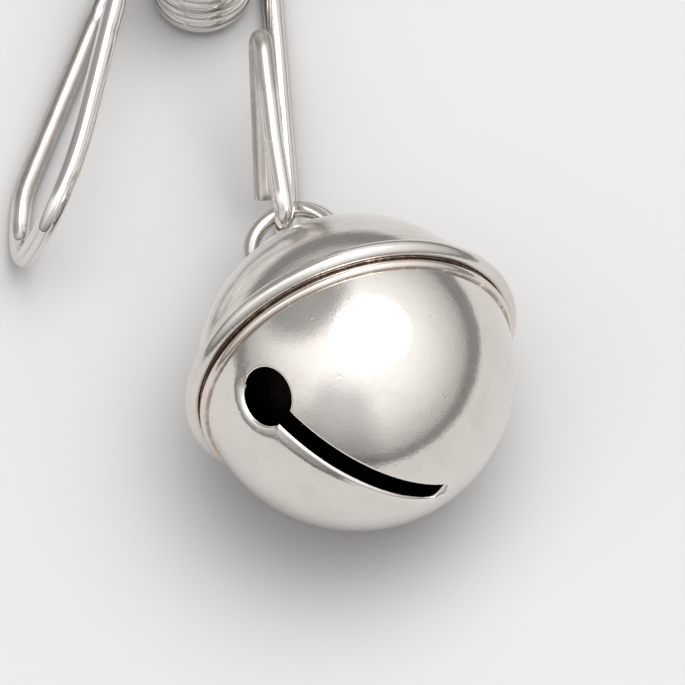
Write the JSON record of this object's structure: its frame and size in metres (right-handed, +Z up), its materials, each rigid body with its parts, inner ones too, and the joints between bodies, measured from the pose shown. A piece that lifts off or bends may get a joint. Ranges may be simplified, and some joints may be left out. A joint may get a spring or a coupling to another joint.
{
  "type": "sleigh bell on a wire clip",
  "caption": "Polished metal crotal bell with a keyhole slot and loose pellet, hung by its staple from the loop of a sprung wire clip.",
  "frame": {"origin": "on the surface the part lies on, under the middle of its whole outline", "axes": "+Z up from the surface, +Y along the clip from the bell towards the jaws, +X across it"},
  "size_m": [0.0482, 0.0842, 0.0317],
  "materials": {
    "clip_wire": "polished drawn stainless wire",
    "bell_plate": "polished nickel plate, slightly satin",
    "staple_wire": "polished nickel plate",
    "pellet_steel": "dull tumbled steel"
  },
  "bodies": {
    "clip_left": {"clip_left_arm": "clip_wire", "clip_coil": "clip_wire"},
    "clip_right": {"clip_right_arm": "clip_wire"},
    "bell": {"bell_upper_shell": "bell_plate", "bell_lower_shell": "bell_plate", "bell_staple": "staple_wire"},
    "pellet": {"bell_pellet": "pellet_steel"}
  },
  "joints": [
    {"name": "clip_squeeze", "type": "hinge", "parent": "clip_left", "child": "clip_right", "pos_m": [-0.00576, 0.01812, 0.0071], "axis": [0, 0, -1], "range_deg": [0, 20], "stiffness_Nm_per_rad": 0.6, "springref_deg": -11.46, "deforming": ["clip_coil"]},
    {"name": "bell_swing", "type": "hinge", "parent": "clip_right", "child": "bell", "pos_m": [0.00235, -0.01064, 0.0104], "axis": [0, 0, 1], "range_deg": [-30, 60]},
    {"name": "pellet_roll", "type": "hinge", "parent": "bell", "child": "pellet", "pos_m": [0.00897, -0.02708, 0.0163], "axis": [-0.9415, -0.3371, 0], "range_deg": [-25, 95]}
  ]
}
